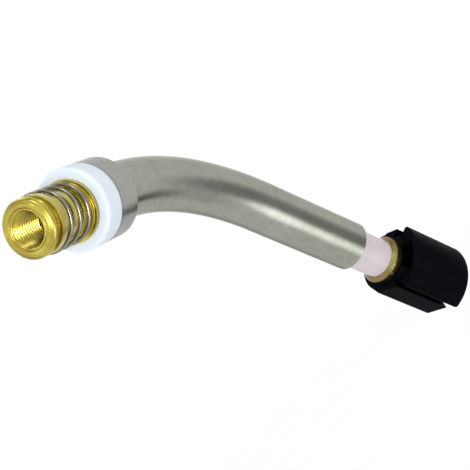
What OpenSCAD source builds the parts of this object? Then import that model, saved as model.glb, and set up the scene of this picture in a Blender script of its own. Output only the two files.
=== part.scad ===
// Swan neck of a gas-cooled MIG/MAG welding torch.
// Millimetres. Origin: on the front axis where the tip thread's wall begins, one
// bevel behind the front face. +X runs into the part along the front axis, +Z is
// up, and the neck bends down towards -Z in the XZ plane.

/* [Bent jacket tube] */
// outside diameter of the steel jacket tube
tube_d = 16; // [12:0.5:22]
// wall of the steel jacket tube
tube_wall = 1.5; // [1:0.1:2.5]
// angle of the bend
bend_angle = 45; // [20:1:60]
// bend radius measured at the tube centre line
bend_r = 82.5; // [60:0.5:110]
// straight length between the front collar and the bend
front_straight = 5.6; // [2:0.1:20]
// straight length between the bend and the rear end of the jacket
rear_straight = 38.4; // [15:0.2:70]

/* [Brass tip seat] */
// major diameter of the tip thread
thread_d = 10; // [8:1:12]
// pitch of the tip thread
thread_pitch = 1; // [0.75:0.25:1.5]
// depth of the tip thread
thread_depth = 12; // [8:0.5:14]
// length of the bevel in front of the thread
thread_bevel_l = 0.5; // [0.3:0.1:1]
// diameter of the two lands
land_d = 15.2; // [13.5:0.1:15.6]
// length of the front land
land_front_l = 1.2; // [1.2:0.1:5]
// radius on the front edge of the front land
land_edge_r = 1; // [0.3:0.1:1.1]
// width of the groove between the lands
groove_w = 2.4; // [1.5:0.1:4]
// depth of the groove between the lands
groove_depth = 1; // [0.5:0.1:1.4]
// length of the rear land
land_rear_l = 2; // [1.2:0.1:4]
// space kept for the spring between the rear land and the shoulder
spring_space = 11.7; // [9:0.1:20]
// length of the small step in front of the shoulder
step_l = 0.7; // [0.3:0.1:2]
// diameter of the small step in front of the shoulder
step_d = 15.1; // [13:0.1:16.4]
// length of the shoulder that holds the insulating ring
shoulder_l = 1.3; // [0.8:0.1:3]
// diameter of the shoulder
shoulder_d = 16.6; // [15:0.1:20]

/* [Nozzle spring] */
// outside diameter of the spring, a little proud of the lands
spring_d = 16; // [15.2:0.1:18]
// diameter of the spring wire
wire_d = 1; // [0.8:0.1:1.3]
// rise of the open coils in one turn
coil_pitch = 4.05; // [3:0.05:6]
// room under the spring that lets it give inwards when a nozzle goes on
spring_room = 0.65; // [0.62:0.01:1]

/* [Insulating ring and collar] */
// outside diameter of the white ring and of the steel collar
ring_d = 22; // [20:0.5:28]
// thickness of the white ring
ring_t = 6.4; // [3:0.1:10]
// rounding on the front edge of the white ring
ring_edge_r = 1; // [0.3:0.1:2]
// length of the steel collar
collar_l = 8.7; // [5:0.1:15]
// rounding on the rear edge of the collar
collar_edge_r = 0.6; // [0.2:0.1:1.5]
// length of the ring's neck inside the jacket
ring_neck_l = 10; // [5:0.5:14]

/* [Conductor and sleeve] */
// outside diameter of the copper conductor tube
conductor_d = 10; // [8:0.1:10.4]
// bore of the copper conductor tube
conductor_bore_d = 6; // [4:0.1:6.6]
// length of sleeve that shows behind the jacket
sleeve_out = 13.2; // [5:0.1:30]

/* [Rear connector] */
// diameter of the brass head ring
head_d = 16.1; // [15:0.1:18]
// length of the bevel on the head ring
head_bevel_l = 1.1; // [0.5:0.1:2]
// length of the brass head ring
head_l = 9; // [7:0.5:14]
// diameter of the brass stub behind the head ring
stub_d = 13; // [12:0.1:14]
// length of the brass stub
stub_l = 15; // [12:0.5:25]
// major diameter of the cable thread in the stub
cable_thread_d = 10; // [8:1:10]
// depth of the cable thread
cable_thread_depth = 10; // [6:0.5:11]
// how much wider than the thread's core the relief behind it is, on the diameter
cable_relief = 0.6; // [0.4:0.1:1]

/* [Black cap] */
// diameter of the rounded side of the cap body
cap_d = 20.2; // [20:0.1:26]
// length of the cap body
cap_l = 24.1; // [18:0.1:35]
// bevel on the front edge of the rounded side
cap_bevel = 0.6; // [0.2:0.1:0.8]
// length of brass head ring that shows in front of the cap
head_show = 2.9; // [2:0.1:6]
// thickness of the closed end of the cap
cap_end_t = 1.4; // [1:0.1:3]
// diameter over the raised shell of the cap
shell_d = 27.8; // [26:0.1:32]
// thickness of the raised shell over the pocket
shell_t = 1.8; // [1.2:0.1:2.5]
// how far behind the body's front the raised shell begins
shell_back = 1.5; // [0.5:0.1:4]
// how far the raised shell runs on behind the body
shell_over = 3.4; // [0.5:0.1:4]
// angle at which the raised shell begins, from the top of the neck
shell_from = 64.5; // [0:0.5:120]
// angle covered by the raised shell
shell_angle = 106.5; // [60:0.5:150]
// bevel along the long edges of the raised shell, measured down from its top
shell_bevel = 0.7; // [0.4:0.1:1]
// bevel across the two rear corners of the raised shell
shell_corner = 1.6; // [0.5:0.1:3]
// rounding on the rear edge of the raised shell
shell_edge_r = 1.6; // [0.5:0.1:1.7]
// width of the long grooves beside the raised shell
groove_slot_w = 1.6; // [0.6:0.1:2]
// depth of the long grooves below the cap body
groove_slot_depth = 1; // [0.4:0.1:1.4]
// depth of the pocket under the raised shell, which is open to the bore
pocket_depth = 13; // [6:0.5:18]
// angle between the beginning of the shell and the pocket
pocket_from = 26; // [10:1:40]
// angle covered by the pocket
pocket_angle = 54; // [30:1:60]
// how far the far flat stands out beside the groove, from the axis
far_flat_r = 11.7; // [11:0.1:13.4]
// how far the near flat stands out beside the groove, from the axis
near_flat_r = 13.2; // [12:0.1:13.4]
// how far the outer corner of the near flat is from the axis
near_corner_r = 11.2; // [10.8:0.1:12.4]

/* [Hidden] */
$fn = 96;

fit = 0.05;
slide_fit = 0.08;
over = 1;
lap = 0.4;
bend_ease = 0.02;

minor_k = 1.0825;
thread_minor_d = thread_d - minor_k * thread_pitch;
cable_minor_d = cable_thread_d - minor_k * thread_pitch;

x_face = -thread_bevel_l;
x_groove = x_face + land_front_l;
x_land_rear = x_groove + groove_w;
x_spring = x_land_rear + land_rear_l;
x_step = x_spring + spring_space;
x_shoulder = x_step + step_l;
x_ring = x_shoulder + shoulder_l;
x_collar = x_ring + ring_t;
x_tube = x_collar + fit;
x_bend = x_collar + collar_l + front_straight;

tube_bore_d = tube_d - 2 * tube_wall;
sleeve_d = tube_bore_d - 2 * fit;
neck_d = tube_bore_d - 2 * fit;
core_d = spring_d - 2 * wire_d - 2 * spring_room;

socket_l = 6;
x_socket = x_ring - socket_l + 3;
x_tail = x_ring + 4.5;
tail_d = conductor_d + 2;
passage_d = conductor_bore_d;

end_x = x_bend + bend_r * sin(bend_angle) + rear_straight * cos(bend_angle);
end_z = -bend_r * (1 - cos(bend_angle)) - rear_straight * sin(bend_angle);

s_head = sleeve_out;
s_stub = s_head + head_l;
s_end = s_stub + stub_l;
s_cap = s_head + head_show;
s_cap_end = s_cap + cap_l;
s_shell = s_cap + shell_back;
s_shell_end = s_cap_end + shell_over;
sleeve_seat_l = 3;
conductor_end = s_head + 9;
cap_bore_d = head_d + 2 * slide_fit;
shell_to = shell_from + shell_angle;

// puts a part built along +Z onto the front axis
module on_front_axis() {
  rotate([0, 90, 0])
    rotate([0, 0, 180])
      children();
}

// puts a part built along +Z onto the rear axis, from the end of the jacket
module on_rear_axis() {
  translate([end_x, 0, end_z])
    rotate([0, 90 + bend_angle, 0])
      rotate([0, 0, 180])
        children();
}

// solid rod along the neck's centre line, from x0 in front to s1 behind the jacket;
// the bend is a hair slimmer, and each straight laps over its end
module neck_rod(d, x0, s1) {
  translate([x0, 0, 0])
    rotate([0, 90, 0])
      cylinder(d = d, h = x_bend - x0 + lap);
  translate([x_bend, 0, -bend_r])
    rotate(a = -120, v = [1, 1, 1])
      rotate_extrude(angle = bend_angle)
        translate([bend_r, 0])
          circle(d = d - 2 * bend_ease);
  translate([end_x, 0, end_z])
    rotate([0, 90 + bend_angle, 0])
      translate([0, 0, -rear_straight - lap])
        cylinder(d = d, h = rear_straight + s1 + lap);
}

// turned profile of the brass seat
module seat_profile() {
  translate([0, x_face + land_edge_r])
    square([land_d / 2, land_front_l - land_edge_r]);
  translate([0, x_face])
    square([land_d / 2 - land_edge_r, land_front_l]);
  translate([land_d / 2 - land_edge_r, x_face + land_edge_r])
    circle(r = land_edge_r, $fn = 48);
  translate([0, x_groove - 0.01])
    square([land_d / 2 - groove_depth, groove_w + 0.02]);
  translate([0, x_land_rear])
    square([land_d / 2, land_rear_l]);
  translate([0, x_spring - 0.01])
    square([core_d / 2, spring_space + 0.02]);
  translate([0, x_step])
    square([step_d / 2, step_l + 0.01]);
  translate([0, x_shoulder])
    square([shoulder_d / 2, shoulder_l]);
  translate([0, x_ring - 0.01])
    square([tail_d / 2, x_tail - x_ring + 0.01]);
}

// brass seat with the tip thread, the spring core and the shoulder
module tip_seat() {
  color([0.72, 0.62, 0.25])
    on_front_axis()
      difference() {
        rotate_extrude()
          seat_profile();
        translate([0, 0, x_face - over])
          cylinder(d = thread_minor_d, h = thread_depth - x_face + over);
        translate([0, 0, x_face])
          cylinder(d1 = thread_d + 0.3, d2 = thread_minor_d, h = thread_bevel_l);
        cylinder(d = passage_d, h = x_ring);
        translate([0, 0, x_socket])
          cylinder(d = conductor_d + 2 * fit, h = x_tail);
      }
}

// the spring is one wire: a flat end, open coils and a flat end
wire_r = wire_d / 2;
coil_r = spring_d / 2 - wire_r;
flat_turn = 0.4;
x_coil_a = x_spring + wire_r + fit;
x_coil_b = x_step - wire_r - fit;
open_turns = (x_coil_b - x_coil_a) / coil_pitch;
all_turns = open_turns + 2 * flat_turn;
rings = ceil(all_turns * 8);
coil_from = 259 + flat_turn * 360;

function turn_at(i) = all_turns * i / rings;
function coil_x(t) = x_coil_a + coil_pitch * min(max(t - flat_turn, 0), open_turns);
function coil_phi(t) = coil_from - 360 * t;
function coil_point(t) = [coil_x(t), -coil_r * sin(coil_phi(t)), coil_r * cos(coil_phi(t))];
function coil_out(t) = [0, -sin(coil_phi(t)), cos(coil_phi(t))];
function unit(v) = v / norm(v);
function coil_dir(t) = unit(coil_point(t + 0.02) - coil_point(t - 0.02));
function coil_side(t) = unit(cross(coil_dir(t), coil_out(t)));
function wire_ring(c, n, b) = [for (k = [0 : 5]) c + wire_r * (cos(60 * k) * n + sin(60 * k) * b)];
function mid_ring(i) = wire_ring(coil_point(turn_at(i)), coil_out(turn_at(i)), coil_side(turn_at(i)));
function end_shift(t, way) = coil_point(t) + way * wire_d * coil_dir(t);

module nozzle_spring() {
  head = wire_ring(end_shift(0, -1), coil_out(0), coil_side(0));
  tail = wire_ring(end_shift(all_turns, 1), coil_out(all_turns), coil_side(all_turns));
  body = [for (i = [0 : rings]) each mid_ring(i)];
  pts = concat(head, body, tail);
  n = rings + 3;
  sides_a = [for (i = [0 : n - 2], k = [0 : 5]) [6 * i + k, 6 * i + (k + 1) % 6, 6 * (i + 1) + k]];
  sides_b = [for (i = [0 : n - 2], k = [0 : 5])
    [6 * i + (k + 1) % 6, 6 * (i + 1) + (k + 1) % 6, 6 * (i + 1) + k]];
  cap_a = [for (k = [1 : 4]) [0, k + 1, k]];
  cap_b = [for (k = [1 : 4]) [6 * (n - 1), 6 * (n - 1) + k, 6 * (n - 1) + k + 1]];
  centres = concat([end_shift(0, -1)], [for (i = [0 : rings]) coil_point(turn_at(i))],
    [end_shift(all_turns, 1)]);
  gaps = [for (i = [0 : n - 1], j = [i + 5 : 1 : n - 1]) norm(centres[i] - centres[j]) - wire_d];
  echo(least_gap_between_coils = min(gaps), rings = n);
  color([0.62, 0.62, 0.6])
    polyhedron(points = pts, faces = concat(sides_a, sides_b, cap_a, cap_b), convexity = 6);
}

// white flanged ring: the flange shows, its neck centres the conductor in the jacket
module insulating_ring() {
  color([0.93, 0.95, 0.97])
    on_front_axis()
      difference() {
        union() {
          rotate_extrude()
            union() {
              translate([0, x_ring])
                square([ring_d / 2 - ring_edge_r, ring_t]);
              translate([0, x_ring + ring_edge_r])
                square([ring_d / 2, ring_t - ring_edge_r]);
              translate([ring_d / 2 - ring_edge_r, x_ring + ring_edge_r])
                circle(r = ring_edge_r, $fn = 48);
            }
          translate([0, 0, x_collar - 0.01])
            cylinder(d = neck_d, h = ring_neck_l);
        }
        translate([0, 0, x_ring - over])
          cylinder(d = tail_d + 2 * fit, h = x_tail - x_ring + over);
        translate([0, 0, x_ring])
          cylinder(d = conductor_d + 2 * fit, h = ring_t + ring_neck_l + over);
      }
}

// steel collar on the front end of the jacket
module front_collar() {
  color([0.6, 0.6, 0.56])
    on_front_axis()
      difference() {
        rotate_extrude()
          union() {
            translate([0, x_collar])
              square([ring_d / 2, collar_l - collar_edge_r]);
            translate([0, x_collar])
              square([ring_d / 2 - collar_edge_r, collar_l]);
            translate([ring_d / 2 - collar_edge_r, x_collar + collar_l - collar_edge_r])
              circle(r = collar_edge_r, $fn = 48);
          }
        translate([0, 0, x_collar - over])
          cylinder(d = tube_d + 2 * fit, h = collar_l + 2 * over);
      }
}

// bent steel jacket
module jacket_tube() {
  color([0.64, 0.64, 0.6])
    difference() {
      neck_rod(tube_d, x_tube, 0);
      neck_rod(tube_bore_d, x_tube - over, over);
    }
}

// bent insulating sleeve between the jacket and the conductor
module insulating_sleeve() {
  color([0.9, 0.85, 0.87])
    difference() {
      neck_rod(sleeve_d, x_collar + ring_neck_l, s_head + sleeve_seat_l - fit);
      neck_rod(conductor_d + 2 * fit, x_collar + ring_neck_l - over, s_head + sleeve_seat_l + over);
    }
}

// bent copper tube that carries the current, the gas and the wire
module conductor_tube() {
  color([0.72, 0.45, 0.3])
    difference() {
      neck_rod(conductor_d, x_socket, conductor_end);
      neck_rod(conductor_bore_d, x_socket - over, conductor_end + over);
    }
}

// brass connector at the rear: head ring, stub and cable thread
module rear_connector() {
  color([0.72, 0.62, 0.25])
    on_rear_axis()
      difference() {
        union() {
          translate([0, 0, s_head])
            cylinder(d1 = sleeve_d + 0.6, d2 = head_d, h = head_bevel_l);
          translate([0, 0, s_head + head_bevel_l - 0.01])
            cylinder(d = head_d, h = head_l - head_bevel_l + 0.01);
          translate([0, 0, s_stub - 0.01])
            cylinder(d = stub_d, h = stub_l + 0.01);
        }
        translate([0, 0, s_head - over])
          cylinder(d = sleeve_d + 2 * fit, h = sleeve_seat_l + over);
        translate([0, 0, s_head])
          cylinder(d = conductor_d + 2 * fit, h = conductor_end - s_head + fit);
        translate([0, 0, s_head])
          cylinder(d = cable_minor_d + cable_relief, h = s_end - cable_thread_depth - s_head);
        translate([0, 0, s_end - cable_thread_depth - 0.01])
          cylinder(d = cable_minor_d, h = cable_thread_depth + over);
        translate([0, 0, s_end - 0.6])
          cylinder(d1 = cable_minor_d, d2 = cable_thread_d + 0.3, h = 0.61);
      }
}

// wedge of a circle, used to cut sectors of the cap
module wedge(r, from, angle) {
  steps = 8;
  polygon(concat([[0, 0]], [for (i = [0 : steps])
    1.1 * r * [cos(from + angle * i / steps), sin(from + angle * i / steps)]]));
}

// wedge of the raised shell, its two outer corners bevelled at 45 degrees
module shell_wedge() {
  low_r = shell_d / 2 - shell_bevel;
  high_r = shell_d / 2 + 0.1;
  turn = asin((shell_bevel + 0.1) / high_r);
  steps = 8;
  polygon(concat([[0, 0]],
    [low_r * [cos(shell_from), sin(shell_from)]],
    [high_r * [cos(shell_from + turn), sin(shell_from + turn)]],
    [for (i = [1 : steps - 1])
      1.1 * high_r * [cos(shell_from + shell_angle * i / steps), sin(shell_from + shell_angle * i / steps)]],
    [high_r * [cos(shell_to - turn), sin(shell_to - turn)]],
    [low_r * [cos(shell_to), sin(shell_to)]]));
}

// long groove beside the raised shell, its mid-plane through the axis
module side_groove(angle) {
  rotate([0, 0, angle])
    translate([cap_d / 2 - groove_slot_depth, -groove_slot_w / 2, s_cap - over])
      cube([shell_d / 2, groove_slot_w, cap_l + shell_over + 2 * over]);
}

// cuts one rear corner of the raised shell at 45 degrees
module corner_cut(angle) {
  rotate([0, 0, angle])
    translate([shell_d / 2, 0, s_shell_end])
      rotate([45, 0, 0])
        cube([shell_d, shell_corner * sqrt(2), shell_corner * sqrt(2)], center = true);
}

// raised shell with a rounded rear edge
module shell_solid() {
  intersection() {
    rotate_extrude()
      difference() {
        union() {
          translate([0, s_shell])
            square([shell_d / 2, s_shell_end - s_shell - shell_edge_r]);
          translate([0, s_shell])
            square([shell_d / 2 - shell_edge_r, s_shell_end - s_shell]);
          translate([shell_d / 2 - shell_edge_r, s_shell_end - shell_edge_r])
            circle(r = shell_edge_r, $fn = 48);
        }
        translate([-over, s_cap_end])
          square([shell_d / 2 - shell_t + over, shell_over + over]);
      }
    translate([0, 0, s_shell - over])
      linear_extrude(height = s_shell_end - s_shell + 2 * over)
        shell_wedge();
  }
}

// far flat: leaves the round side low and rises to the groove
module far_flat() {
  polygon([[0, 0],
    far_flat_r * [cos(shell_from - 3), sin(shell_from - 3)],
    far_flat_r * [cos(shell_from - 7), sin(shell_from - 7)],
    cap_d / 2 * [cos(shell_from - 33), sin(shell_from - 33)]]);
}

// near flat: stands high at the groove, turns a corner and falls to the round side
module near_flat() {
  polygon([[0, 0],
    near_flat_r * [cos(shell_to + 3), sin(shell_to + 3)],
    near_corner_r * [cos(shell_to + 48), sin(shell_to + 48)],
    cap_d / 2 * [cos(shell_to + 66), sin(shell_to + 66)]]);
}

// body of the cap: a round side, bevelled in front, and two flats
module cap_body() {
  translate([0, 0, s_cap])
    linear_extrude(height = cap_l)
      union() {
        far_flat();
        near_flat();
      }
  translate([0, 0, s_cap])
    cylinder(d1 = cap_d - 2 * cap_bevel, d2 = cap_d, h = cap_bevel);
  translate([0, 0, s_cap + cap_bevel - 0.01])
    cylinder(d = cap_d, h = cap_l - cap_bevel + 0.01);
}

// black moulded cap over the rear connector
module rear_cap() {
  groove_turn = asin(0.9 * groove_slot_w / shell_d);
  color([0.1, 0.11, 0.12])
    on_rear_axis()
      difference() {
        union() {
          cap_body();
          shell_solid();
        }
        translate([0, 0, s_cap - over])
          cylinder(d = cap_bore_d, h = s_cap_end - cap_end_t - s_cap + over);
        intersection() {
          translate([0, 0, s_cap - over])
            cylinder(d = shell_d - 2 * shell_t, h = pocket_depth + over);
          translate([0, 0, s_cap - 2 * over])
            linear_extrude(height = pocket_depth + 3 * over)
              wedge(shell_d / 2, shell_from + pocket_from, pocket_angle);
        }
        corner_cut(shell_from);
        corner_cut(shell_to);
        side_groove(shell_from - groove_turn);
        side_groove(shell_to + groove_turn);
      }
}

tip_seat();
nozzle_spring();
insulating_ring();
front_collar();
jacket_tube();
insulating_sleeve();
conductor_tube();
rear_connector();
rear_cap();
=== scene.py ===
# %% [markdown]
# # Swan neck of a gas-cooled welding torch
#
# The neck is a bent steel tube. At its front sits a brass seat with a tip thread, a wire
# spring that grips the gas nozzle and a white ring that keeps the nozzle off the steel.
# At its rear an insulating sleeve comes out of the tube and ends in a brass head ring
# under a black moulded cap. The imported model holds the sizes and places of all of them,
# and this script gives it its looks without moving or resizing anything.

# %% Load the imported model
import bpy, bmesh, math
from mathutils import Matrix, Vector


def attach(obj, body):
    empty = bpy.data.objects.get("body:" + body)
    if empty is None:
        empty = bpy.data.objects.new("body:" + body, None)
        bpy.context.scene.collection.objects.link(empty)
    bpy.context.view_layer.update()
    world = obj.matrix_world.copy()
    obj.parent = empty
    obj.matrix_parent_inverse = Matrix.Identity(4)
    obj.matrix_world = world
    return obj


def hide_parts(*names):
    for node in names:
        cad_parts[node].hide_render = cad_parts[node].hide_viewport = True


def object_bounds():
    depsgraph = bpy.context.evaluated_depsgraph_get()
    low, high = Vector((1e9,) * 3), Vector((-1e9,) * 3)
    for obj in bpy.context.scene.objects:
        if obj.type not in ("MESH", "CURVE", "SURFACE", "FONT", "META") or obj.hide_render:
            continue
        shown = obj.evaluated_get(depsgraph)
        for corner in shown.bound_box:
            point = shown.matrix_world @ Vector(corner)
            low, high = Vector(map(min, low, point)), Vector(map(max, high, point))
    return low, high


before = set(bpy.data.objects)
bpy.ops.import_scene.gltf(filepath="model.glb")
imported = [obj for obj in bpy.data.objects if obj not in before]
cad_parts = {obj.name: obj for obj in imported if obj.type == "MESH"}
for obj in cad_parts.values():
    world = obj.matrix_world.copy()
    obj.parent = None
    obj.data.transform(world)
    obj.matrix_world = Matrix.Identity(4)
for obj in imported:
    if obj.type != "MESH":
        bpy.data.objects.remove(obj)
cad_box = [list(corner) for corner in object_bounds()]
MM = 0.001
print("nodes:", sorted(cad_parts))

# %% [markdown]
# ## Two axes
#
# Nearly everything on the neck is turned, so it is round about one of two axes: the front
# axis through the tip thread, and the rear axis through the head ring. A slanted outline
# is hard to read and to check, so each piece is drawn in millimetres along its own axis,
# and the axis's matrix then sets it in place.

# %% The front axis and the rear axis
bend_angle = math.radians(45)
bend_radius = 82.5
bend_from = 39.5
rear_straight = 38.4
jacket_end = Vector((
    bend_from + bend_radius * math.sin(bend_angle) + rear_straight * math.cos(bend_angle),
    0,
    -bend_radius * (1 - math.cos(bend_angle)) - rear_straight * math.sin(bend_angle)))
rear_dir = Vector((math.cos(bend_angle), 0, -math.sin(bend_angle)))
rear_up = Vector((math.sin(bend_angle), 0, math.cos(bend_angle)))
front_axis = Matrix(((0, 0, 1, 0), (0, -1, 0, 0), (1, 0, 0, 0), (0, 0, 0, 1)))
rear_axis = Matrix((
    (rear_up.x, 0, rear_dir.x, jacket_end.x),
    (0, -1, 0, 0),
    (rear_up.z, 0, rear_dir.z, jacket_end.z),
    (0, 0, 0, 1)))
print("jacket ends at", [round(v, 2) for v in jacket_end], "mm")

# %% [markdown]
# ## From points to a piece
#
# Every piece made here ends the same way: its points go from millimetres on an axis to
# metres in the shared frame, its faces are shaded smooth, and the edges that the tool or
# the mould left sharp are marked, so that light breaks there.

# %% Helpers that turn points and faces into a piece
def add_object(name, data):
    thing = bpy.data.objects.new(name, data)
    bpy.context.scene.collection.objects.link(thing)
    return thing


def mark_sharp(mesh, sharp_deg):
    """Shade the faces smooth, but break the light at edges steeper than sharp_deg."""
    work = bmesh.new()
    work.from_mesh(mesh)
    bmesh.ops.recalc_face_normals(work, faces=work.faces)
    for face in work.faces:
        face.smooth = True
    for edge in work.edges:
        if len(edge.link_faces) == 2:
            edge.smooth = edge.calc_face_angle(0) < math.radians(sharp_deg)
    work.to_mesh(mesh)
    work.free()
    mesh.update()


def make_piece(name, points, faces, axis, material, sharp_deg):
    mesh = bpy.data.meshes.new(name)
    mesh.from_pydata([(axis @ Vector(p)) * MM for p in points], [], faces)
    mesh.update()
    mesh.materials.append(material)
    mark_sharp(mesh, sharp_deg)
    return add_object(name, mesh)


# %% [markdown]
# ## Finishes
#
# A finish could be one flat colour, but then the piece looks like a toy: real brass
# tarnishes in patches, plated steel carries faint smudges and moulded plastic has grain.
# So each material is built from nodes. They read each point's place in metres, so the
# detail keeps its real size. A node takes several lines, so the calls that every material
# needs are gathered here, and the room round the part uses the first ones too.

# %% Short calls for plain nodes
class Nodes:
    """The nodes of one tree, of a material or of the world."""
    def __init__(self, tree):
        self.nodes = tree.nodes
        self.links = tree.links

    def feed(self, socket, value):
        """Give a socket a plain value, or the output of another node."""
        if isinstance(value, bpy.types.NodeSocket):
            self.links.new(value, socket)
        else:
            socket.default_value = value

    def maths(self, kind, a, b):
        node = self.nodes.new("ShaderNodeMath")
        node.operation = kind
        self.feed(node.inputs[0], a)
        self.feed(node.inputs[1], b)
        return node.outputs["Value"]

    def vectors(self, kind, a, b=None):
        node = self.nodes.new("ShaderNodeVectorMath")
        node.operation = kind
        self.feed(node.inputs[0], a)
        if b is not None:
            self.feed(node.inputs["Scale" if kind == "SCALE" else 1], b)
        return node.outputs["Value" if kind in ("DOT_PRODUCT", "LENGTH") else "Vector"]

    def spread(self, value, low, high, start=0.3, stop=0.7, soft=False):
        """Stretch the values from start to stop over the range from low to high."""
        node = self.nodes.new("ShaderNodeMapRange")
        node.interpolation_type = "SMOOTHSTEP" if soft else "LINEAR"
        node.inputs["From Min"].default_value = start
        node.inputs["From Max"].default_value = stop
        node.inputs["To Min"].default_value = low
        node.inputs["To Max"].default_value = high
        self.feed(node.inputs["Value"], value)
        return node.outputs["Result"]


# %% Short calls for a material
class Finish(Nodes):
    """One material with its shader and with textures that keep their real size."""
    def __init__(self, name):
        self.material = bpy.data.materials.new(name)
        self.material.use_nodes = True
        super().__init__(self.material.node_tree)
        self.shader = self.nodes["Principled BSDF"]
        self.place = self.nodes.new("ShaderNodeTexCoord").outputs["Object"]

    def give(self, socket, value):
        self.feed(self.shader.inputs[socket], value)

    def noise(self, scale, detail=3.0, rough=0.5, place=None):
        node = self.nodes.new("ShaderNodeTexNoise")
        node.inputs["Scale"].default_value = scale
        node.inputs["Detail"].default_value = detail
        node.inputs["Roughness"].default_value = rough
        self.feed(node.inputs["Vector"], self.place if place is None else place)
        return node.outputs["Fac"]

    def mixed(self, *parts):
        """Add values up, each times its share."""
        total = None
        for value, share in parts:
            scaled = self.maths("MULTIPLY", value, share)
            total = scaled if total is None else self.maths("ADD", total, scaled)
        return total

    def ramp(self, value, stops):
        """Turn values into colours; stops are (value, colour)."""
        node = self.nodes.new("ShaderNodeValToRGB")
        bar = node.color_ramp
        while len(bar.elements) < len(stops):
            bar.elements.new(0.5)
        for element, (at, colour) in zip(bar.elements, stops):
            element.position = at
            element.color = (*colour, 1)
        self.feed(node.inputs["Fac"], value)
        return node.outputs["Color"]

    def bump(self, height, depth, strength, before=None):
        """Dents of a depth in metres, laid over the ones before."""
        node = self.nodes.new("ShaderNodeBump")
        node.inputs["Strength"].default_value = strength
        node.inputs["Distance"].default_value = depth
        self.feed(node.inputs["Height"], height)
        if before is not None:
            self.feed(node.inputs["Normal"], before)
        return node.outputs["Normal"]


# %% Places round an axis
def ring_places(finish, origin, direction):
    """A vector of the distance along an axis and the distance from it, in metres."""
    shift = finish.vectors("SUBTRACT", finish.place, origin)
    along = finish.vectors("DOT_PRODUCT", shift, direction)
    away = finish.vectors("LENGTH", finish.vectors("CROSS_PRODUCT", shift, direction))
    both = finish.nodes.new("ShaderNodeCombineXYZ")
    finish.feed(both.inputs["X"], along)
    finish.feed(both.inputs["Y"], away)
    return both.outputs["Vector"]


def painted_shade_along(finish, colour, rings, start, stop, left):
    """Painted shade: fade a colour along the axis, from whole at start to the share that is left at
    stop.
    """
    along = finish.nodes.new("ShaderNodeSeparateXYZ")
    finish.feed(along.inputs[0], rings)
    share = finish.spread(along.outputs["X"], 1.0, left, start, stop)
    return finish.vectors("SCALE", colour, share)


# %% [markdown]
# ### Turned brass
# The seat and the head ring come off a lathe. The tool leaves rings, so the fine bump is
# a noise that changes only along the axis and with the radius. The colour runs from a
# greenish yellow to a brown where the metal has tarnished, in wide patches with finer
# ones in them. The seat still has the thin clear film of its cutting oil, which whitens
# the brightest lights. The head ring is given a browner and darker brass than the seat,
# and under the cap its colour is darkened nearly to black as painted shade.

# %% Turned brass for the two axes
cap_front = 16.1     # mm along the rear axis
painted_shade_width = 0.6    # mm over which the painted shade under the cap sets in
painted_shade_left = 0.15    # share of the colour that is left in the painted shade


def turned_brass(name, origin, direction, stops, film, painted_shade_from=None):
    brass = Finish(name)
    rings = ring_places(brass, origin, direction)
    tarnish = brass.mixed((brass.noise(95, 3, 0.5), 0.7), (brass.noise(420, 4, 0.6), 0.15),
                          (brass.noise(1500, 2, 0.5, rings), 0.15))
    colour = brass.ramp(tarnish, stops)
    # Painted shade: under the cap the brass colour drops to a small share, nearly black.
    if painted_shade_from is not None:
        painted_shade_to = painted_shade_from + painted_shade_width
        colour = painted_shade_along(brass, colour, rings, painted_shade_from * MM, painted_shade_to * MM, painted_shade_left)
    brass.give("Base Color", colour)
    brass.give("Metallic", 0.95)
    brass.give("Coat Weight", film)
    brass.give("Coat Roughness", 0.2)
    brass.give("Roughness", brass.spread(brass.noise(500, 3, 0.5), 0.2, 0.3))
    dents = brass.bump(brass.noise(300, 3), 0.00003, 0.35)
    tool_marks = brass.noise(3600, 2, 0.5, rings)
    brass.give("Normal", brass.bump(tool_marks, 0.00001, 0.2, dents))
    return brass.material


seat_brass = turned_brass("turned_brass_seat", (0, 0, 0), (1, 0, 0), [
    (0.40, (0.355, 0.25, 0.02)), (0.46, (0.395, 0.305, 0.022)),
    (0.52, (0.44, 0.355, 0.03)), (0.60, (0.51, 0.44, 0.06))], film=0.9)
# The head ring's brass is browner and darker than the seat's, with painted shade under the cap.
head_brass = turned_brass("turned_brass_head", jacket_end * MM, rear_dir, [
    (0.40, (0.20, 0.14, 0.045)), (0.5, (0.25, 0.20, 0.075)),
    (0.60, (0.30, 0.25, 0.095))], film=0.05, painted_shade_from=cap_front)
print("brass for the seat and for the head ring")

# %% [markdown]
# ### Satin steel
#
# The jacket and the collar are plated to a satin, so their reflections are wide and soft,
# and the spring's drawn wire is a little darker and sharper. Satin comes from a fine bump
# and a roughness that wanders a little, and the colour from two noises: wide clouds and
# small mottles. A thin line of painted shade darkens the collar in its joint with the ring.

# %% Steel for the jacket, the collar and the wire
collar_front = 25.2  # mm along the front axis, where the collar meets the ring
joint_shade_width = 0.8     # mm over which the painted shade in the joint fades out
joint_shade_left = 0.6      # share of the colour that is left in the painted shade of the joint


def satin_steel(name, dark, light, grain, rough, mottling, joint_shade_from=None):
    steel = Finish(name)
    cloud = steel.noise(70, 4, 0.6)
    mottle = steel.noise(430, 4, 0.6)
    tone = steel.mixed((cloud, 1 - mottling), (mottle, mottling))
    colour = steel.ramp(tone, [(0.36, dark), (0.64, light)])
    # Painted shade: the colour darkens towards the collar's joint with the ring.
    if joint_shade_from is not None:
        rings = ring_places(steel, (0, 0, 0), (1, 0, 0))
        joint_shade_to = joint_shade_from + joint_shade_width
        colour = painted_shade_along(steel, colour, rings, joint_shade_to * MM, joint_shade_from * MM, joint_shade_left)
    steel.give("Base Color", colour)
    steel.give("Metallic", 1.0)
    steel.give("Specular Tint", (0.72, 0.72, 0.70, 1))
    steel.give("Roughness", steel.spread(steel.noise(260, 4, 0.65), *rough))
    fine = steel.bump(steel.noise(grain, 3, 0.7), 0.000012, 0.5)
    steel.give("Normal", steel.bump(mottle, 0.00003, 0.12, fine))
    return steel.material


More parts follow.
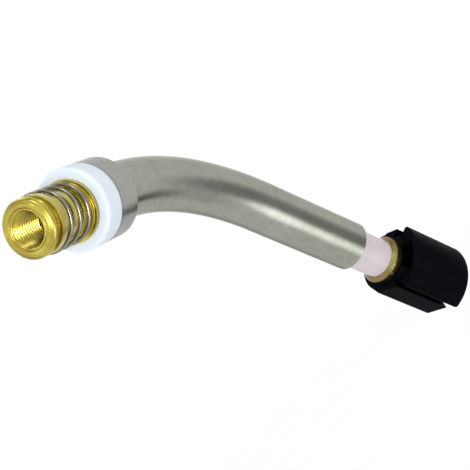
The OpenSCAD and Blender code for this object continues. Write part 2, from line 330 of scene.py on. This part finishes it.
jacket_steel = satin_steel("satin_jacket_steel", (0.30, 0.305, 0.26), (0.365, 0.37, 0.325),
                           grain=5200, rough=(0.18, 0.25), mottling=0.5)
# The collar's steel carries a line of painted shade at its joint with the ring.
collar_steel = satin_steel("satin_collar_steel", (0.325, 0.33, 0.305), (0.40, 0.405, 0.38),
                           grain=6500, rough=(0.18, 0.24), mottling=0.4,
                           joint_shade_from=collar_front)
wire_steel = satin_steel("drawn_wire_steel", (0.21, 0.195, 0.15), (0.31, 0.29, 0.235),
                         grain=4200, rough=(0.16, 0.24), mottling=0.5)
print("steel for the jacket, the collar and the wire")

# %% [markdown]
# ### White ring and pale sleeve
#
# Both are plastics that let a little light in. A plain white paint would give them hard
# shadows, so some light travels under the surface here: two millimetres in the ring and
# one in the sleeve. That softens the edge where the ring's face turns into its side.

# %% Plastics for the ring and the sleeve
def pale_plastic(name, low, high, rough, glow, depth):
    """glow is the share of light that goes under the surface, depth how far, in mm."""
    plastic = Finish(name)
    plastic.give("Base Color", plastic.ramp(plastic.noise(160, 4, 0.6), [(0.3, low), (0.7, high)]))
    plastic.give("Roughness", plastic.spread(plastic.noise(600, 3), rough - 0.05, rough + 0.06))
    plastic.give("Subsurface Weight", glow)
    plastic.give("Subsurface Radius", (1.0, 0.8, 0.7))
    plastic.give("Subsurface Scale", depth * MM)
    plastic.give("Normal", plastic.bump(plastic.noise(3800, 3, 0.6), 0.00002, 0.4))
    return plastic.material


ring_white = pale_plastic("white_ring_plastic", (0.77, 0.86, 1.0), (0.82, 0.895, 1.0),
                          rough=0.62, glow=0.35, depth=2)
sleeve_pale = pale_plastic("pale_sleeve_plastic", (0.69, 0.60, 0.635), (0.75, 0.67, 0.70),
                           rough=0.36, glow=0.2, depth=1)
print("plastics for the ring and the sleeve")

# %% [markdown]
# ### Drawn copper and black moulded plastic
#
# The inner tube is bare drawn copper, warm and fairly dull. The cap is black with the
# fine grain of its mould. Black plastic with the usual shine turns grey in a white room,
# so its shine is turned far down and the grain does the rest.

# %% Copper for the tube, black for the cap
copper = Finish("drawn_copper")
copper.give("Base Color", copper.ramp(copper.noise(180, 4, 0.6), [
    (0.3, (0.50, 0.21, 0.12)), (0.7, (0.60, 0.28, 0.17))]))
copper.give("Metallic", 1.0)
copper.give("Roughness", copper.spread(copper.noise(500, 3), 0.25, 0.4))
copper.give("Normal", copper.bump(copper.noise(4000, 2), 0.00001, 0.4))

cap_black = Finish("black_moulded_plastic")
cap_black.give("Base Color", cap_black.ramp(cap_black.noise(140, 4, 0.6), [
    (0.3, (0.0016, 0.0022, 0.0033)), (0.7, (0.0028, 0.0036, 0.0050))]))
cap_black.give("Roughness", cap_black.spread(cap_black.noise(900, 3), 0.5, 0.62))
cap_black.give("Specular IOR Level", 0.015)
cap_grain = cap_black.bump(cap_black.noise(3000, 3, 0.6), 0.00004, 0.5)
cap_black.give("Normal", cap_black.bump(cap_black.noise(240, 2), 0.00006, 0.35, cap_grain))
print("copper and black plastic")

# %% [markdown]
# ## Turned pieces with rounded corners
#
# A lathe tool never leaves a knife edge. A bevel modifier could round every edge alike,
# but a turned piece has its own rounding at each corner. So the outline is given as
# corners, each with its rounding, and swept round the axis. The bore may change with the
# angle, which is how the thread is cut into it.

# %% Round the corners of an outline and sweep it
def rounded_outline(corners, steps=5):
    """corners are (along, radius, rounding) in mm; gives the points of the outline."""
    points = []
    for i, (x, r, rounding) in enumerate(corners):
        here = Vector((x, r))
        if rounding == 0:
            points.append(here)
            continue
        back = (Vector(corners[i - 1][:2]) - here).normalized()
        on = (Vector(corners[i + 1][:2]) - here).normalized()
        half = back.angle(on) / 2
        reach = rounding / math.tan(half)
        centre = here + (back + on).normalized() * rounding / math.sin(half)
        a, b = here + back * reach - centre, here + on * reach - centre
        turn = a.angle_signed(b)
        for k in range(steps + 1):
            spin = Matrix.Rotation(-turn * k / steps, 2)
            points.append(centre + spin @ a)
    return points


def plain_ring(x, r):
    return lambda angle: (x, r)


def swept_rings(rings, sides=120):
    """rings are functions of the angle that give (along, radius); the last joins the first."""
    points, faces = [], []
    for ring in rings:
        for k in range(sides):
            angle = 2 * math.pi * k / sides
            x, r = ring(angle)
            points.append((r * math.cos(angle), r * math.sin(angle), x))
    for i in range(len(rings)):
        this, following = i * sides, (i + 1) % len(rings) * sides
        for k in range(sides):
            beside = (k + 1) % sides
            faces.append((this + k, this + beside, following + beside, following + k))
    return points, faces


# %% [markdown]
# ## The brass seat and its tip thread
#
# The seat holds the contact tip's holder in an M10 x 1 thread. A thread can be a picture
# of grooves, but light in the bore shows at once that it is flat. So the bore is a real
# helix: the radius at each point depends on how far along and how far round it lies.

# %% Cut a right-hand thread into a bore
thread_crest_r, thread_root_r, thread_rise = 4.459, 4.98, 1.0
half_flat = 0.07     # half the flat at a crest or a root, as a share of the rise


def thread_radius(x, angle):
    phase = (x / thread_rise - angle / (2 * math.pi)) % 1.0
    flank = (abs(phase - 0.5) - half_flat) / (0.5 - 2 * half_flat)
    return thread_root_r - (thread_root_r - thread_crest_r) * min(max(flank, 0.0), 1.0)


def threaded_bore(x_from, x_to, mouth_at, mouth_r, per_turn=14):
    """Rings of a thread that deepens over its first turn, with a 45 degree bevel at its mouth."""
    count = round(abs(x_to - x_from) / thread_rise * per_turn)
    rings = []
    for i in range(count + 1):
        x = x_from + (x_to - x_from) * i / count

        def ring(angle, x=x):
            depth = min(1.0, abs(x - x_from) / thread_rise)
            r = thread_crest_r + (thread_radius(x, angle) - thread_crest_r) * depth
            return x, max(r, mouth_r - abs(mouth_at - x))
        rings.append(ring)
    return rings


print("thread:", round(2 * thread_crest_r, 2), "to", round(2 * thread_root_r, 2), "mm")

# %% Make the seat, in mm along the front axis
seat_face, seat_mouth_r, tip_thread_end = -0.44, 4.71, 12.0
front_land_r, groove_r, rear_land_r = 7.57, 6.7, 7.6
spring_from, spring_to, core_r = 5.1, 16.8, 6.35
step_r, shoulder_from, shoulder_to, shoulder_r = 7.55, 17.5, 18.8, 8.3
tail_r, seat_end = 6.0, 23.3
socket_r, socket_floor, passage_r = 5.05, 15.8, 3.0
seam = 0.01          # mm between an outline's end and the bore's nearest ring

face_corners = [
    (seat_face, seat_mouth_r + seam, 0), (seat_face, 5.06, 0.05), (-0.2, 5.22, 0.04),
    (seat_face, 5.4, 0.06), (-0.5, 6.3, 0.06), (-0.38, 6.46, 0.04), (seat_face, 6.66, 0.1)]
land_corners = [
    (-0.2, 7.22, 0.7), (0.3, front_land_r, 0.5), (0.8, front_land_r, 0.08),
    (0.86, groove_r, 0.05), (3.04, groove_r, 0.05),
    (3.1, rear_land_r, 0.08), (spring_from, rear_land_r, 0.12)]
core_corners = [
    (spring_from, core_r, 0.15), (spring_to, core_r, 0.4),
    (spring_to, step_r, 0.15), (shoulder_from, step_r, 0.15)]
tail_corners = [
    (shoulder_from, shoulder_r, 0.12), (shoulder_to, shoulder_r, 0.1),
    (shoulder_to, tail_r, 0.05), (seat_end, tail_r, 0.05), (seat_end, socket_r, 0)]
passage = [
    (socket_floor, socket_r), (socket_floor, passage_r),
    (tip_thread_end + 0.6, passage_r), (tip_thread_end + 0.05, 4.3)]

seat_outline = rounded_outline(face_corners + land_corners + core_corners + tail_corners)
seat_rings = [plain_ring(x, r) for x, r in seat_outline + passage]
seat_rings += threaded_bore(tip_thread_end, seat_face + seam, seat_face, seat_mouth_r)
seat_points, seat_faces = swept_rings(seat_rings)
# Reversed, each face of the thread splits along the helix instead of across it.
seat_faces = [tuple(reversed(face)) for face in seat_faces]
seat = make_piece("seat_with_thread", seat_points, seat_faces, front_axis, seat_brass, sharp_deg=28)
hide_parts("tip_seat")
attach(seat, "neck")
print("seat:", len(seat_points), "points")

# %% [markdown]
# ## The nozzle spring
#
# The spring is one wire, wound left-handed with open coils and a short flat end on each
# side. It stands a little proud of the lands, so a nozzle that is pushed on presses it in
# and is held. Rings stacked side by side would look alike from afar, but they never climb.
# So a circle is swept along the helix, with enough rings to look drawn and smooth.

# %% Wind the wire
spring_d, wire_d, wire_fit = 16.0, 1.0, 0.05
coil_rise, flat_turn, first_deg = 4.05, 0.4, 259
coil_from = spring_from + wire_d / 2 + wire_fit
coil_to = spring_to - wire_d / 2 - wire_fit
open_turns = (coil_to - coil_from) / coil_rise
all_turns = open_turns + 2 * flat_turn
small_turn = 0.004


def wire_centre(turn):
    climbed = min(max(turn - flat_turn, 0), open_turns)
    angle = math.radians(first_deg + 360 * flat_turn - 360 * turn)
    r = (spring_d - wire_d) / 2
    return Vector((r * math.cos(angle), r * math.sin(angle), coil_from + coil_rise * climbed))


def wind_wire(rings_per_turn=44, sides=14):
    count = int(all_turns * rings_per_turn)
    points, faces = [], []
    for i in range(count + 1):
        turn = all_turns * i / count
        centre = wire_centre(turn)
        along = (wire_centre(turn + small_turn) - wire_centre(turn - small_turn)).normalized()
        out = Vector((centre.x, centre.y, 0)).normalized()
        side = along.cross(out).normalized()
        for k in range(sides):
            angle = 2 * math.pi * k / sides
            points.append(centre + wire_d / 2 * (math.cos(angle) * out + math.sin(angle) * side))
    for i in range(count):
        for k in range(sides):
            a, b = i * sides + k, i * sides + (k + 1) % sides
            faces.append((a, b, b + sides, a + sides))
    faces.append(tuple(reversed(range(sides))))
    faces.append(tuple(range(count * sides, (count + 1) * sides)))
    return points, faces


wire_points, wire_faces = wind_wire()
spring = make_piece("wound_nozzle_spring", wire_points, wire_faces, front_axis, wire_steel,
                    sharp_deg=50)
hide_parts("nozzle_spring")
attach(spring, "neck")
print("spring:", round(all_turns, 2), "turns")

# %% [markdown]
# ## The rear connector
#
# The torch cable screws onto the neck inside the cap. The connector is turned too: a head
# ring that shows, a stub behind it and an M10 x 1 thread in the stub's end. It is made in
# the same way as the seat, on the rear axis. The bevel in front of the head ring is what
# catches the light just before the cap.

# %% Make the connector, in mm along the rear axis
recess_floor, recess_r = 16.2, 6.52
head_from, bevel_to, head_to, head_r = 13.2, 14.3, 22.2, 8.05
stub_end, stub_r = 37.2, 6.5
cable_mouth_r, cable_drill_r, cable_thread_end = 5.14, 4.76, 27.0
rear_socket_floor = 22.25

connector_outline = rounded_outline([
    (recess_floor, recess_r, 0), (head_from, recess_r, 0.05),
    (head_from, 6.8, 0.06), (bevel_to, head_r, 0.12), (head_to, head_r, 0.15),
    (head_to, stub_r, 0.2), (stub_end, stub_r, 0.3), (stub_end, cable_mouth_r + seam, 0)])
cable_passage = [
    (cable_thread_end - 0.1, cable_drill_r), (rear_socket_floor, cable_drill_r),
    (rear_socket_floor, socket_r), (recess_floor, socket_r)]
connector_rings = [plain_ring(x, r) for x, r in connector_outline]
connector_rings += threaded_bore(stub_end - seam, cable_thread_end, stub_end, cable_mouth_r)
connector_rings += [plain_ring(x, r) for x, r in cable_passage]
connector_points, connector_faces = swept_rings(connector_rings)
connector = make_piece("connector_with_thread", connector_points, connector_faces,
                       rear_axis, head_brass, sharp_deg=28)
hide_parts("rear_connector")
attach(connector, "neck")
print("connector:", len(connector_points), "points")

# %% [markdown]
# ## The black cap
#
# A moulded part has no sharp edges: the mould rounds them by a few tenths of a
# millimetre, and each rounding draws a thin line of light on the black. The cap's true
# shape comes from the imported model. A copy of it gets its flat faces joined up, and then
# a small bevel runs along every edge that is left.

# %% Round the edges of a copy of the cap
cap_rounding = 0.22      # mm
weld_gap = 0.002         # mm between points that are one corner
flat_deg = 1.0           # faces that meet flatter than this are one face


def rounded_copy(node, name, material, round_over_deg=24, sharp_deg=40):
    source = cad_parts[node]
    mesh = source.data.copy()
    mesh.name = name
    mesh.transform(source.matrix_world)
    mesh.materials.clear()
    mesh.materials.append(material)
    work = bmesh.new()
    work.from_mesh(mesh)
    bmesh.ops.remove_doubles(work, verts=work.verts, dist=weld_gap * MM)
    bmesh.ops.dissolve_limit(work, angle_limit=math.radians(flat_deg), verts=work.verts,
                             edges=work.edges)
    edges = [e for e in work.edges
             if len(e.link_faces) == 2 and e.calc_face_angle(0) > math.radians(round_over_deg)]
    bmesh.ops.bevel(work, geom=edges, offset=cap_rounding * MM, offset_type="OFFSET",
                    segments=3, profile=0.5, affect="EDGES", clamp_overlap=True)
    work.to_mesh(mesh)
    work.free()
    mark_sharp(mesh, sharp_deg)
    return add_object(name, mesh)


cap = rounded_copy("rear_cap", "moulded_cap", cap_black.material)
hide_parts("rear_cap")
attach(cap, "cap")
print("cap:", len(cap.data.polygons), "faces")

# %% [markdown]
# ## Ring, collar, jacket, sleeve and inner tube
#
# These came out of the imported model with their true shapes. Making them again would only
# risk a mistake, so they keep their meshes and get a finish.

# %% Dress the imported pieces
def dress(node, material):
    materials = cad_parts[node].data.materials
    materials.clear()
    materials.append(material)


dress("insulating_ring", ring_white)
dress("front_collar", collar_steel)
dress("jacket_tube", jacket_steel)
dress("insulating_sleeve", sleeve_pale)
dress("conductor_tube", copper.material)
print("dressed five packed pieces")

# %% [markdown]
# ## The floor
#
# The neck hangs by its tip thread, clear of a pale floor that only takes its soft shadow.
# The floor is left out of the reflections, so that the metal shows the tent alone, and it
# glows a little for the camera, so that it is as white as the background behind it.

# %% Pale floor
floor_half, floor_gap, floor_glow = 4.0, 0.06, 0.25
floor_z = cad_box[0][2] - floor_gap
floor_corners = [(x * floor_half, y * floor_half, floor_z)
                 for x, y in ((-1, -1), (1, -1), (1, 1), (-1, 1))]
floor_mesh = bpy.data.meshes.new("pale_floor")
floor_mesh.from_pydata(floor_corners, [], [(0, 1, 2, 3)])
pale_floor = add_object("pale_floor", floor_mesh)

paper = Finish("pale_floor_paper")
paper.give("Base Color", paper.ramp(paper.noise(6, 2), [
    (0.3, (0.93, 0.93, 0.93)), (0.7, (0.95, 0.95, 0.95))]))
paper.give("Roughness", 0.9)
paper.give("Specular IOR Level", 0.0)
paper.give("Emission Color", (1, 1, 1, 1))
floor_rays = paper.nodes.new("ShaderNodeLightPath").outputs
floor_seen = paper.maths("MAXIMUM", floor_rays["Is Camera Ray"], floor_rays["Is Transmission Ray"])
paper.give("Emission Strength", paper.maths("MULTIPLY", floor_seen, floor_glow))
floor_mesh.materials.append(paper.material)
pale_floor.visible_glossy = False
print("floor at", round(floor_z / MM, 1), "mm")

# %% [markdown]
# ## The tent
#
# Polished and plated metal shows little else than what is round it, so the room matters
# more than the lamps. A product would be lit in a white tent, with soft dark boards that
# draw the dark lines along the steel and bright windows that draw the light ones. Real
# boards would have to stand somewhere, so here they are soft patches on the sky, each
# round one direction. Only reflections see them: the camera sees plain white, and rough
# surfaces get an even light.

# %% A soft patch of the tent
world = bpy.data.worlds.new("pale_studio")
bpy.context.scene.world = world
world.use_nodes = True
room = Nodes(world.node_tree)
look = room.nodes.new("ShaderNodeTexCoord").outputs["Generated"]


def patched(level, direction, reach_deg, amount):
    """Brighten or darken a level round one direction, out to reach_deg from it."""
    near = room.vectors("DOT_PRODUCT", look, Vector(direction).normalized())
    edge = math.cos(math.radians(reach_deg))
    return room.maths("ADD", room.spread(near, 0.0, amount, edge, 1.0, soft=True), level)


# %% Boards and windows
tent_level = 1.0
boards_and_windows = [
    ((0.33, -0.70, -0.62), 33, -0.62),     # dark line along the jacket's rear half
    ((0.76, -0.04, -0.65), 14, -0.50),     # dark line low on the collar and the bend's start
    ((0.45, -0.06, -0.89), 24, -0.26),     # softer dark in the bend that joins the two
    ((-0.27, -0.45, -0.85), 26, 1.85),     # light band on the rear straight
    ((0.94, 0.19, 0.28), 24, 0.2),         # lifts the upper side of the jacket
    ((0.60, 0.78, -0.15), 22, -0.3),       # dims the lower edge of the jacket
    ((-0.80, 0.54, 0.25), 45, 0.2),        # lifts the flat face of the seat
    ((-0.90, -0.39, -0.18), 17, 15.0),     # window in front: band in the bore, wire glints
    ((-0.50, -0.45, 0.69), 12, 5.0),       # small window high up, round the high lamp
    ((-0.25, 0.93, -0.25), 30, -0.6),      # dark board on the far side
    ((0, 0, 1), 48, -0.85),                # dark ceiling
    ((0.15, 0.10, 0.98), 26, 2.4)]         # window in the ceiling
tent = tent_level
for direction, reach_deg, amount in boards_and_windows:
    tent = patched(tent, direction, reach_deg, amount)
print("tent:", len(boards_and_windows), "patches on a level of", tent_level)


# %% Which rays see the tent
def choice(switch, off, on):
    """The colour off where the switch is 0 and the colour on where it is 1."""
    node = room.nodes.new("ShaderNodeMix")
    node.data_type = "RGBA"
    room.feed(node.inputs["Factor"], switch)
    room.feed(node.inputs["A"], off)
    room.feed(node.inputs["B"], on)
    return node.outputs["Result"]


even_light = (0.79, 0.79, 0.79, 1)
rays = room.nodes.new("ShaderNodeLightPath").outputs
lit = choice(rays["Is Glossy Ray"], even_light, tent)
seen = room.maths("MAXIMUM", rays["Is Camera Ray"], rays["Is Transmission Ray"])
background = room.nodes["Background"]
room.feed(background.inputs["Color"], choice(seen, lit, (1, 1, 1, 1)))
background.inputs["Strength"].default_value = 1.0
print("even light for rough surfaces:", even_light[0])

# %% [markdown]
# ## Two soft lamps
#
# The tent alone would light the rough pieces evenly from all sides. The front lamp gives
# them a bright side. Its reflection would draw ragged white edges on the far sides of the
# metal, so reflections don't see it, and the tent's front window takes its place there.
# The high lamp is faint and adds a little light from above.

# %% Set the lamps
lamp_aim = Vector((0.02, 0, -0.005))
lamp_distance = 0.6


def soft_lamp(name, direction, size, watts):
    data = bpy.data.lights.new(name, "AREA")
    data.shape = "DISK"
    data.size = size
    data.energy = watts
    lamp = add_object(name, data)
    lamp.location = lamp_aim + Vector(direction).normalized() * lamp_distance
    lamp.rotation_euler = (lamp.location - lamp_aim).to_track_quat("Z", "Y").to_euler()
    return lamp


front_lamp = soft_lamp("lamp_front", (-0.90, -0.32, -0.26), size=0.26, watts=3.0)
front_lamp.visible_glossy = False
soft_lamp("lamp_high", (-0.5, -0.45, 0.69), size=0.12, watts=0.1)
print("two soft lamps")

# %% [markdown]
# ## The camera
#
# The lens is long, but the camera stands only a quarter of a metre from the tip: in front
# of it, to one side and a little below. So the bore shows its thread and the rear falls
# away smaller. The camera is rolled by 45 degrees, which lays the neck across the picture,
# and a small shift of the lens puts it where it belongs without turning the camera.

# %% Camera
camera_place = (-0.207545, -0.144260, -0.066160)
camera_turn_deg = (100.18365, 44.59534, -55.26952)
camera_data = bpy.data.cameras.new("camera")
camera_data.sensor_width = 36
camera_data.lens = 83.955
camera_data.shift_x = 0.0161
camera_data.shift_y = 0.00115
camera = add_object("camera", camera_data)
camera.location = camera_place
camera.rotation_euler = [math.radians(turn) for turn in camera_turn_deg]
bpy.context.scene.camera = camera
bpy.context.scene.view_settings.view_transform = "Standard"
print("camera with a", round(camera_data.lens, 1), "mm lens")

# %% [markdown]
# ## The imported model's box
#
# The box of the imported model is printed.

# %% Print the imported model's box
print("packed box", cad_box)
